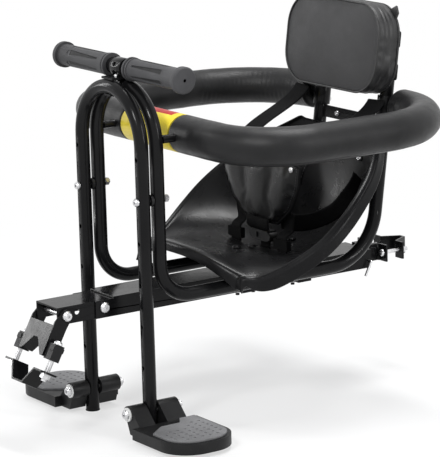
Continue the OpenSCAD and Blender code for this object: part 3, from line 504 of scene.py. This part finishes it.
def spline(rows, n):
    """Points on a smooth curve through the rows, n from each row to the next."""
    out = []
    for i in range(len(rows) - 1):
        p = [np.array(rows[k], dtype=float)
             for k in (max(i - 1, 0), i, i + 1, min(i + 2, len(rows) - 1))]
        for k in range(n):
            t = k / n
            out.append(0.5 * (2 * p[1] + (p[2] - p[0]) * t +
                              (2 * p[0] - 5 * p[1] + 4 * p[2] - p[3]) * t * t +
                              (3 * p[1] - p[0] - 3 * p[2] + p[3]) * t ** 3))
    out.append(np.array(rows[-1], dtype=float))
    return out


def bezier(p, n):
    out = []
    for i in range(n + 1):
        t = i / n
        s = 1 - t
        out.append(s ** 3 * p[0] + 3 * s * s * t * p[1] + 3 * s * t * t * p[2] + t ** 3 * p[3])
    return out


def tangents(pts, closed=False):
    n = len(pts)
    out = []
    for i in range(n):
        a = pts[(i - 1) % n] if closed else pts[max(i - 1, 0)]
        b = pts[(i + 1) % n] if closed else pts[min(i + 1, n - 1)]
        out.append((b - a).normalized())
    return out


def skin(rings, closed_path=False, cap=True):
    """Faces joining rings of equal size."""
    n, m = len(rings[0]), len(rings)
    verts = [v for r in rings for v in r]
    faces = []
    for i in range(m if closed_path else m - 1):
        a, b = i * n, ((i + 1) % m) * n
        for j in range(n):
            k = (j + 1) % n
            faces.append((a + j, a + k, b + k, b + j))
    if cap and not closed_path:
        faces.append(tuple(reversed(range(n))))
        faces.append(tuple((m - 1) * n + j for j in range(n)))
    return verts, faces


def cord_ring(name, pts, radius, material, lie):
    """A closed round cord, such as piping, in a plane square to lie."""
    sides = 10
    rings = []
    for p, t in zip(pts, tangents(pts, True)):
        a = t.cross(lie).normalized()
        b = t.cross(a).normalized()
        rings.append([p + (a * math.cos(q) + b * math.sin(q)) * radius
                      for q in (2 * math.pi * k / sides for k in range(sides))])
    verts, faces = skin(rings, True)
    add(name, verts, faces, material)


def ribbon(name, path, across, width, thick, replaces=()):
    """A woven strap with rounded selvedges. The attribute 'run' holds its length and width."""
    fine = resample(path, 0.003)
    lanes = 14
    section = []
    for j in range(lanes + 1):
        u = -1 + 2 * j / lanes
        section.append((u, 0.5 * (1 - abs(u) ** 8) ** 0.5 if abs(u) < 1 else 0.0))
    section += [(u, -v) for u, v in reversed(section[1:-1])]
    rings, run = [], []
    for p, t, along in zip(fine, tangents(fine), lengths(fine)):
        w = Vector(across)
        w = (w - t * w.dot(t)).normalized()
        h = t.cross(w).normalized()
        rings.append([p + w * (u * width / 2) + h * (v * thick) for u, v in section])
        run += [(along, u * width / 2, 0) for u, v in section]
    verts, faces = skin(rings)
    obj = add(name, verts, faces, "webbing")
    at = obj.data.attributes.new("run", "FLOAT_VECTOR", "POINT")
    at.data.foreach_set("vector", np.array(run, dtype=np.float32).ravel())
    if replaces:
        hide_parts(*replaces)
    return fine


def stitches(name, pts, normal, length=0.0028, gap=0.0016, radius=0.00035):
    """Short raised stitches in one mesh, on a surface with this normal."""
    fine = resample(pts, 0.0011)
    marks = lengths(fine)
    rows, sides = 5, 6
    verts, faces = [], []

    def at(d):
        i, t = locate(marks, d)
        return fine[i].lerp(fine[i + 1], t)

    dist = 0.0
    while dist + length < marks[-1]:
        p0, p1 = at(dist), at(dist + length)
        t = (p1 - p0).normalized()
        nrm = Vector(normal)
        nrm = (nrm - t * nrm.dot(t)).normalized()
        s = t.cross(nrm)
        base = len(verts)
        for i in range(rows):
            f = i / (rows - 1)
            r = radius * (0.35 + 0.65 * math.sin(math.pi * f))
            c = p0.lerp(p1, f) + nrm * (radius * (1.2 * math.sin(math.pi * f) - 0.5))
            for q in range(sides):
                g = 2 * math.pi * q / sides
                verts.append(c + (s * math.cos(g) + nrm * math.sin(g)) * r)
        for i in range(rows - 1):
            for q in range(sides):
                a, b = base + i * sides + q, base + i * sides + (q + 1) % sides
                faces.append((a, b, b + sides, a + sides))
        faces.append(tuple(base + q for q in reversed(range(sides))))
        faces.append(tuple(base + (rows - 1) * sides + q for q in range(sides)))
        dist += length + gap
    add(name, verts, faces, "thread")


def rounded(w, h, r, n):
    """n points, evenly spaced, round a rectangle with corners of radius r."""
    fine = []
    for cx, cy, start in ((w / 2 - r, h / 2 - r, 0), (-w / 2 + r, h / 2 - r, 90),
                          (-w / 2 + r, -h / 2 + r, 180), (w / 2 - r, -h / 2 + r, 270)):
        for k in range(25):
            a = math.radians(start + 90 * k / 24)
            fine.append(Vector((cx + r * math.cos(a), cy + r * math.sin(a), 0)))
    fine.append(fine[0].copy())
    return resample(fine, lengths(fine)[-1] / n)[:-1]


def inflate(obj, pinned, pressure, extra, cap):
    """Cloth under pressure with its seams held.

    extra is how much larger the cloth is than its form. No point moves further than cap.
    """
    frames, stiffness = 20, 12.0
    before = np.empty(len(obj.data.vertices) * 3, dtype=np.float32)
    obj.data.vertices.foreach_get("co", before)
    group = obj.vertex_groups.new(name="seam")
    group.add(pinned, 1.0, "REPLACE")
    mod = obj.modifiers.new("cloth", "CLOTH")
    c = mod.settings
    c.quality = 6
    c.mass = 0.25
    c.tension_stiffness = c.compression_stiffness = stiffness
    c.shear_stiffness = stiffness / 3
    c.bending_stiffness = 0.4
    c.tension_damping = c.compression_damping = 10
    c.air_damping = 3
    c.use_pressure = True
    c.uniform_pressure_force = pressure
    c.shrink_min = -extra
    c.vertex_group_mass = "seam"
    c.pin_stiffness = 1
    c.effector_weights.gravity = 0
    mod.collision_settings.use_collision = False
    mod.collision_settings.use_self_collision = False
    mod.point_cache.frame_start, mod.point_cache.frame_end = 1, frames
    scene = bpy.context.scene
    for f in range(1, frames + 1):
        scene.frame_set(f)
    made = obj.evaluated_get(bpy.context.evaluated_depsgraph_get())
    after = np.empty_like(before)
    made.data.vertices.foreach_get("co", after)
    a, b = before.reshape(-1, 3), after.reshape(-1, 3)
    move = b - a
    far = np.linalg.norm(move, axis=1, keepdims=True)
    move *= np.minimum(1, cap / np.maximum(far, 1e-9))
    obj.modifiers.remove(mod)
    obj.vertex_groups.remove(group)
    obj.data.vertices.foreach_set("co", (a + move).astype(np.float32).ravel())
    obj.data.update()
    scene.frame_set(1)


def subdivide(obj):
    mod = obj.modifiers.new("smooth", "SUBSURF")
    mod.levels = mod.render_levels = 1


# Guard ring's foam

FOAM_R, BORE_R = 0.0275, 0.0098


def ring_path(side):
    """The foam's centreline, with the direction to the inside of each bend or None."""
    pts = []
    for k in range(31):
        pts.append((62 + 90 * k / 30, 82, None))
    for k in range(1, 46):
        a = math.radians(-90 + 2 * k)
        pts.append((152 + 96 * math.cos(a), 178 + 96 * math.sin(a), (152, 178)))
    for k in range(1, 40):
        pts.append((248, 178 + 119 * k / 39, None))
    for k in range(1, 73):
        a = math.radians(1.25 * k)
        pts.append((108 + 140 * math.cos(a), 297 + 140 * math.sin(a), (108, 297)))
    pts.append((105, 437, None))
    return [(laid(side * x, y, RING_Z), None if c is None else laid(side * c[0], c[1], RING_Z))
            for x, y, c in pts]


def foam_sleeve(name, node, side):
    """A bored sleeve with soft ends, a slit along its underside and creases inside its bends."""
    stations = ring_path(side)
    pts = [p for p, c in stations]
    ts = tangents(pts)
    total = lengths(pts)
    end = total[-1]
    slit = math.radians(232)
    angles = sorted([2 * math.pi * k / 60 for k in range(60)] +
                    [slit + a for a in (-0.022, 0.022, -0.006, 0.006)])
    soft = 0.0045
    marks = [soft * (1 - math.cos(math.pi / 2 * k / 6)) for k in range(7)]
    marks = (marks + [s for s in total if soft < s < end - soft] +
             [end - m for m in reversed(marks)])
    outer, inner = [], []
    for s in marks:
        i, share = locate(total, s)
        c = pts[i].lerp(pts[i + 1], share)
        t = ts[i].lerp(ts[i + 1], share).normalized()
        out = UP.cross(t).normalized()
        centre = stations[i][1]
        edge = min(s, end - s)
        roll = 1.0 if edge >= soft else math.sqrt(max(0.0, 1 - (1 - edge / soft) ** 2))
        ring, hole = [], []
        for q in angles:
            d = out * math.cos(q) + UP * math.sin(q)
            r = FOAM_R - soft * 0.75 * (1 - roll)
            p = c + d * r
            r += 0.00035 * noise.noise(p * 38) + 0.00012 * noise.noise(p * 150)
            if centre is not None:
                inside = max(0.0, d.dot((centre - c).normalized()))
                r += 0.00045 * inside ** 2 * math.sin(s * 2 * math.pi / 0.0085 +
                                                      2.5 * noise.noise(p * 30))
            gap = abs(math.atan2(math.sin(q - slit), math.cos(q - slit)))
            if gap < 0.01 and edge > soft:
                r -= 0.0009
            ring.append(c + d * min(r, FOAM_R + 0.0002))
            hole.append(c + d * BORE_R)
        outer.append(ring)
        inner.append(hole)
    verts, faces = skin(outer + inner[::-1], True)
    obj = add(name, verts, faces, "foam")
    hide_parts(node)


# Head cushion

# Width, height and corner radius; the cover's seams are drawn in by FIT
CUSHION, FIT = (0.228, 0.132, 0.048), 0.985
SIDE_ROWS = 18
# Heights up the leaning posts, and how far out the bands run round them
CUSHION_MID, BANDS, BAND_R = 174 + 66, (174 + 22 + 12, 174 + 70 + 12), 11.8


def on_cushion(x, up, depth):
    """A point of the cushion: x across, up from its middle, depth from its back."""
    return leaned(x / MM, -10.6 - depth / MM, CUSHION_MID + up / MM)


def make_cushion():
    w, h, r = CUSHION
    n = 132
    rim = rounded(w, h, r, n)
    front, back, deep = 0.0395, 0.0035, 0.045
    bone = (w - h) / 2

    def shrunk(p, f):
        core = Vector((max(-bone, min(bone, p.x)), 0, 0))
        return core.lerp(p, f)

    inset = 15
    spread = [0.06 + 0.94 * (k / inset) ** 0.9 for k in range(inset)]
    rows = ([("front", f) for f in spread] + [("seam", 1.0)] +
            [("side", k / SIDE_ROWS) for k in range(1, SIDE_ROWS)] + [("rear", 1.0)] +
            [("back", f) for f in reversed(spread)])
    rings = []
    for kind, f in rows:
        ring = []
        for p in rim:
            q = p * FIT
            if kind == "front":
                q, d = shrunk(q, f), front + (deep - front) * (1 - f ** 2.4)
            elif kind == "seam":
                d = front
            elif kind == "side":
                q = q * (1 + 0.012 * math.sin(math.pi * f))
                d = front + (back - front) * f
            elif kind == "rear":
                d = back
            else:
                q, d = shrunk(q, f), back - 0.002 * (1 - f ** 3)
            ring.append(on_cushion(q.x, q.y, d))
        rings.append(ring)
    verts, faces = skin(rings, cap=False)
    # The innermost rings are closed with strips of quads, from one end of the oval
    first = min(range(n), key=lambda i: (rim[i].x < 0, abs(rim[i].y)))
    for base, turn in ((0, 1), ((len(rows) - 1) * n, -1)):
        for i in range(n // 2):
            a, b, c, d = ((first + i) % n, (first + i + 1) % n,
                          (first - i - 1) % n, (first - i) % n)
            face = [base + v for v in dict.fromkeys((a, b, c, d))]
            if len(face) > 2:
                faces.append(tuple(face[::turn]))
    obj = add("head_cushion_cover", verts, faces, "leather")
    obj.data.materials.append(MATERIALS["cushion"])
    for p in obj.data.polygons:
        if all(v < (inset + 1) * n for v in p.vertices):
            p.material_index = 1
    rear = inset + SIDE_ROWS
    seams = [k * n + i for k in (inset, rear) for i in range(n)]
    flat = [*range(inset), *range(rear + 5, len(rows))]
    hold = seams + [k * n + i for k in flat for i in range(n)]
    inflate(obj, hold, 3.2, 0.02, 0.006)
    verts = obj.data.vertices
    front_pts = [verts[inset * n + i].co.copy() for i in range(n)]
    back_pts = [verts[rear * n + i].co.copy() for i in range(n)]
    middle = on_cushion(0, 0, 0.02)
    for k in range(inset + 1, rear):
        loose = math.sin(math.pi * (k - inset) / SIDE_ROWS)
        for i in range(n):
            v = verts[k * n + i]
            angle = 2 * math.pi * i / n
            crease = Vector((2.6 * math.cos(angle), 2.6 * math.sin(angle), k * 0.6))
            small = Vector((6 * math.cos(angle), 6 * math.sin(angle), k * 1.1 + 7))
            v.co += (v.co - middle).normalized() * loose * (
                0.0024 * (noise.noise(crease) - 0.25) + 0.0003 * noise.noise(small))
    subdivide(obj)
    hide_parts("head_cushion")
    axis = (on_cushion(0, 0, 1) - on_cushion(0, 0, 0)).normalized()
    for label, pts, tape in (("front", front_pts, 0.0012), ("rear", back_pts, -0.001)):
        centre = sum(pts, Vector()) / len(pts)
        path = [p + (p - centre).normalized() * 0.0004 + axis * tape * 0.4 for p in pts]
        cord_ring(f"cushion_piping_{label}", path, 0.0017, "leather", lie=axis)
    inside = [p.lerp(sum(front_pts, Vector()) / n, 0.045) + axis * 0.0031 for p in front_pts]
    inside.append(inside[0])
    stitches("cushion_stitches", inside, axis, 0.0026, 0.0016, 0.00028)
    tab = []
    base = [(0.088, 0.046), (0.1, 0.038), (0.108, 0.056), (0.103, 0.066), (0.091, 0.06)]
    for depth in (0.0035, 0.0018, 0.0):
        for x, up in base:
            tab.append(on_cushion(x, up + (0.001 if depth else 0), depth + 0.003))
    verts, faces = skin([tab[:5], tab[5:10], tab[10:]])
    tab = add("cushion_tab", verts, faces, "leather")
    bevel = tab.modifiers.new("edges", "BEVEL")
    bevel.width, bevel.segments = 0.0006, 2


def make_cushion_bands():
    """Two webbing bands hold the cushion to the posts."""
    for name, up in zip(("lower", "upper"), BANDS):
        pts = []
        for a in range(236, 89, -6):
            g = math.radians(a)
            pts.append(leaned(-79 + BAND_R * math.cos(g), BAND_R * math.sin(g), up))
        for x in range(-70, 71, 10):
            pts.append(leaned(x, BAND_R, up))
        for a in range(90, -57, -6):
            g = math.radians(a)
            pts.append(leaned(79 + BAND_R * math.cos(g), BAND_R * math.sin(g), up))
        upward = (leaned(0, 0, 1) - leaned(0, 0, 0)).normalized()
        ribbon(f"cushion_band_{name}", pts, upward, 0.024, 0.0026,
               ("cushion_straps",) if name == "lower" else ())
        patch = [leaned(x, 14.2, up) for x in range(-26, 27, 4)]
        ribbon(f"band_overlap_{name}", patch, upward, 0.023, 0.002)
        outward = (leaned(0, 1, 0) - leaned(0, 0, 0)).normalized()
        box = [leaned(x, 15.2, up + z) for x, z in
               ((-22, -8), (22, -8), (22, 8), (-22, 8), (-22, -8), (22, 8), (22, -8), (-22, 8))]
        stitches(f"band_stitches_{name}", box, outward)


# Harness

STRAP_T = 0.0028
BEHIND_BIB = 262.8
BIB_LOW, BIB_FACE, BIB_BACK = 165.0, 253, 260.6


def two_rows(name, path, across, width, lift, first, last, inset=0.004):
    """Two rows of stitches near a strap's selvedges, from first to last of its length."""
    n = len(path)
    part = path[int(first * (n - 1)):int(last * (n - 1)) + 1]
    ts = tangents(part)
    for k, s in enumerate((-1, 1)):
        line = []
        for p, t in zip(part, ts):
            w = (Vector(across) - t * t.dot(Vector(across))).normalized()
            h = t.cross(w).normalized()
            line.append(p + w * s * (width / 2 - inset) + h * lift)
        stitches(f"{name}_{k}", line, h * (1 if lift > 0 else -1))


def make_straps():
    back = BEHIND_BIB
    for side, word in ((1, "left"), (-1, "right")):
        p = [laid(side * x, y, z) for x, y, z in
             ((92, 402, 338), (96, 372, 296), (82, back + 6, 300), (76, back, 232))]
        fine = ribbon(f"{word}_shoulder_webbing", bezier(p, 40), (side, 0, 0), 0.040,
                      STRAP_T, (f"{word}_shoulder_strap",))
        two_rows(f"{word}_shoulder_stitches", fine, (side, 0, 0), 0.040, 0.0015 * side, 0.8, 0.97)
        hip = [laid(side * x, y, z) for x, y, z in
               ((59, 250, 108), (59, 250, 130), (59, 250, 146), (59, 253, 151),
                (60, back - 2, 155), (60, back, 159), (62, back, 170), (64, back, 184))]
        ribbon(f"{word}_hip_webbing", spline(hip, 6), (side, 0, 0), 0.025, STRAP_T,
               ("hip_straps",) if side == 1 else ())
        waist = [laid(side * x, y, z) for x, y, z in
                 ((80, 374, 226), (84, 356, 204), (79, 334, 180), (70, 302, 168),
                  (63, 276, 167), (52, 266.4, 168), (36, 266.2, 168))]
        ribbon(f"{word}_waist_webbing", spline(waist, 8), (0, 0, 1), 0.026, STRAP_T,
               ("waist_straps",) if side == 1 else ())
    crotch = [laid(0, 262, z) for z in (108, 115, 125, 133.6)]
    ribbon("crotch_webbing", crotch, (1, 0, 0), 0.025, STRAP_T, ("crotch_strap",))


def bib_half(z):
    """Half width of the bib at a height above its lower edge, in mm."""
    zs = (0, 5, 25, 60, 91, 98)
    ws = (41, 48, 74, 94, 100, 97)
    return float(np.interp(z, zs, ws))


def make_bib():
    across, tall = 46, 30
    front, back = [], []
    for i in range(tall + 1):
        v = i / tall
        f_row, b_row = [], []
        for j in range(across + 1):
            u = -1 + 2 * j / across
            top = 98 - 7 * max(0.0, (abs(u) - 0.6) / 0.4) ** 1.3
            z = top * v
            x = u * bib_half(z)
            edge = (1 - abs(u) ** 6) * (1 - abs(2 * v - 1) ** 8)
            fold = math.cos(u * math.pi * 2.5) * (0.4 + 0.6 * math.sin(math.pi * v))
            curve = 3.0 * u * u
            y = BIB_FACE + curve - edge * 4.6 - 1.7 * fold * edge
            f_row.append(laid(x, y, BIB_LOW + z))
            b_row.append(laid(x, min(y + 1.2 + edge * 7.2, BIB_BACK), BIB_LOW + z))
        front.append(f_row)
        back.append(b_row)
    w = across + 1
    verts = [p for row in front for p in row] + [p for row in back for p in row]
    faces = []
    size = w * (tall + 1)
    for i in range(tall):
        for j in range(across):
            a = i * w + j
            faces.append((a, a + 1, a + w + 1, a + w))
            faces.append((size + a, size + a + w, size + a + w + 1, size + a + 1))
    loop = ([j for j in range(across)] + [i * w + across for i in range(tall)] +
            [tall * w + j for j in range(across, 0, -1)] + [i * w for i in range(tall, 0, -1)])
    for a, b in zip(loop, loop[1:] + loop[:1]):
        faces.append((a, b, size + b, size + a))
    obj = add("bib_cover", verts, faces, "vest")
    inflate(obj, loop + [size + k for k in loop], 1.6, 0.015, 0.0035)
    edge = [(obj.data.vertices[k].co + obj.data.vertices[size + k].co) / 2 for k in loop]
    subdivide(obj)
    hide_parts("vest_pad")
    tape = resample(edge + [edge[0]], 0.004)[:-1]
    cord_ring("bib_binding", tape, 0.0023, "webbing", lie=Vector((0, 1, 0)))
    middle = sum(tape, Vector()) / len(tape)
    line = [p.lerp(middle, 0.05) + Vector((0, -0.0031, 0)) for p in tape]
    line.append(line[0])
    stitches("bib_stitches", line, (0, -1, 0))
    for k, side in enumerate((1, -1)):
        rivet(f"bib_rivet_{k}", laid(side * 84, 250.6, 252), Vector((0, -1, 0)), 0.0042)
    loop_pts = [laid(0, y, z) for y, z in ((252, 171), (248.6, 167), (247.6, 160), (249.4, 153),
                                            (254, 149.8))]
    ribbon("bib_loop", spline(loop_pts, 5), (1, 0, 0), 0.058, 0.0024)


def rivet(name, place, axis, radius):
    """A ringed rivet head. Its profile is in radii, outwards and along the axis."""
    profile = [(0.0, 0.45), (0.35, 0.42), (0.62, 0.3), (0.68, 0.18), (0.8, 0.24), (0.95, 0.16),
               (1.0, 0.0), (1.0, -0.3)]
    a = axis.orthogonal().normalized()
    b = axis.cross(a)
    rings = [[place + (a * math.cos(q) + b * math.sin(q)) * max(r, 0.02) * radius +
              axis * h * radius for q in (2 * math.pi * k / 24 for k in range(24))]
             for r, h in profile]
    verts, faces = skin(rings)
    add(name, verts, faces, "zinc")


def make_soft():
    foam_sleeve("left_foam_sleeve", "left_foam", 1)
    foam_sleeve("right_foam_sleeve", "right_foam", -1)
    make_cushion()
    make_cushion_bands()
    make_straps()
    make_bib()


# Seat shell

# The middle line of the sheet as y, z, and its rim as inset from SEAT_HALF, y, z
SEAT_LINE = [(97, 138), (101, 153), (150, 140), (200, 129), (250, 124), (300, 124),
             (345, 133), (374, 160), (389, 200), (398, 245), (402, 287)]
SEAT_RIM = [(50, 121, 102), (49, 127, 119), (32, 150, 118), (16, 190, 134), (2, 232, 160),
            (0, 268, 188), (8, 302, 214), (24, 336, 238), (44, 362, 258), (66, 382, 274),
            (94, 394, 290)]
SEAT_HALF, SKIRT, FLANGE, SHELL_T = 174.0, 22.0, 14.0, 3.0


def make_shell():
    """The seat's moulded sheet, finer than its CAD solid, with a rounded rim."""
    fine = 6
    line, rim = spline(SEAT_LINE, fine), spline(SEAT_RIM, fine)
    m = len(line) - 1
    grid = []
    for i in range(m + 1):
        c, e = line[i], rim[i]
        w = SEAT_HALF - e[0]
        a, b = rim[max(i - 1, 0)], rim[min(i + 1, m)]
        t = np.array([b[1] - a[1], b[2] - a[2]])
        t /= np.linalg.norm(t)
        k = i / (2.0 * fine)
        if k >= 1:
            down = np.array([t[1], -t[0]])
        else:
            down = np.array([t[1] * k, -1.0])
        down /= np.linalg.norm(down)
        ease = min(1.0, (i / fine * 3 + 1) / 8)
        drop = SKIRT * ease * (1 - 0.45 * i / m)
        bend = min(6, drop / 2)
        roll = []
        for s in np.linspace(0, 1, 6):
            roll.append((FLANGE + 2 - 2 * s, drop + (bend - drop) * s))
        for q in np.linspace(0, 1, 5)[1:]:
            g = q * math.pi / 2
            roll.append((FLANGE * (0.8 + 0.2 * math.cos(g)),
                         bend * (1 - math.sin(g)) - 0.4 * q))
        roll += [(FLANGE * f, -h * ease) for f, h in
                 ((0.7, 2.6), (0.55, 4.6), (0.38, 5.4), (0.22, 4.4), (0.1, 1.8))]
        row = []
        for x, d in roll:
            row.append((-w - x, e[1] + down[0] * d, e[2] + down[1] * d))
        for v in np.linspace(-1, 1, 49):
            f = abs(v) ** 3
            row.append((w * v, c[0] + (e[1] - c[0]) * f, c[1] + (e[2] - c[1]) * f))
        for x, d in reversed(roll):
            row.append((w + x, e[1] + down[0] * d, e[2] + down[1] * d))
        grid.append([laid(*p) for p in row])
    n, rows = len(grid[0]), len(grid)
    faces = [(i * n + j, i * n + j + 1, (i + 1) * n + j + 1, (i + 1) * n + j)
             for i in range(rows - 1) for j in range(n - 1)]
    obj = add("seat_shell_skin", [p for r in grid for p in r], faces, "seat_plastic")
    thick = obj.modifiers.new("sheet", "SOLIDIFY")
    thick.thickness = SHELL_T * MM
    thick.offset = -1
    thick.use_even_offset = False
    subdivide(obj)
    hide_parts("seat_shell")


# Rigid CAD parts

# These get a small bevel along their edges; tubes, bolts and nuts are as they come
SHARP = {"front_beam", "rear_beam", "cross_plates", "beam_straps", "clamp_bracket",
         "clamp_jaw", "post_clamp_body", "post_clamp_jaw", "upper_back_bar", "lower_back_bar",
         "left_footplate", "right_footplate", "left_tread", "right_tread", "clamp_rod_guides",
         "strap_sliders", "buckle", "handle_bracket", "handle_plate", "left_grip",
         "right_grip", "tube_plugs", "ring_collars", "front_band"}


def dress_frame():
    slots = {s["node"]: s["material_slot"] for s in frame["record"]["subparts"]}
    for node, obj in frame["nodes"].items():
        obj.data.materials.clear()
        obj.data.materials.append(MATERIALS[slots[node]])
        for p in obj.data.polygons:
            p.material_index = 0
        weld = obj.modifiers.new("weld", "WELD")
        weld.merge_threshold = 0.00001
        if node in SHARP:
            bevel = obj.modifiers.new("edges", "BEVEL")
            bevel.width = 0.0005
            bevel.segments = 2
            bevel.limit_method = "ANGLE"
            bevel.angle_limit = math.radians(38)
            bevel.harden_normals = False


bpy.context.scene.view_settings.view_transform = "Standard"
make_camera()
make_world()
make_floor()
for settings in LAMPS:
    make_lamp(*settings)
dress_frame()
make_shell()
make_soft()
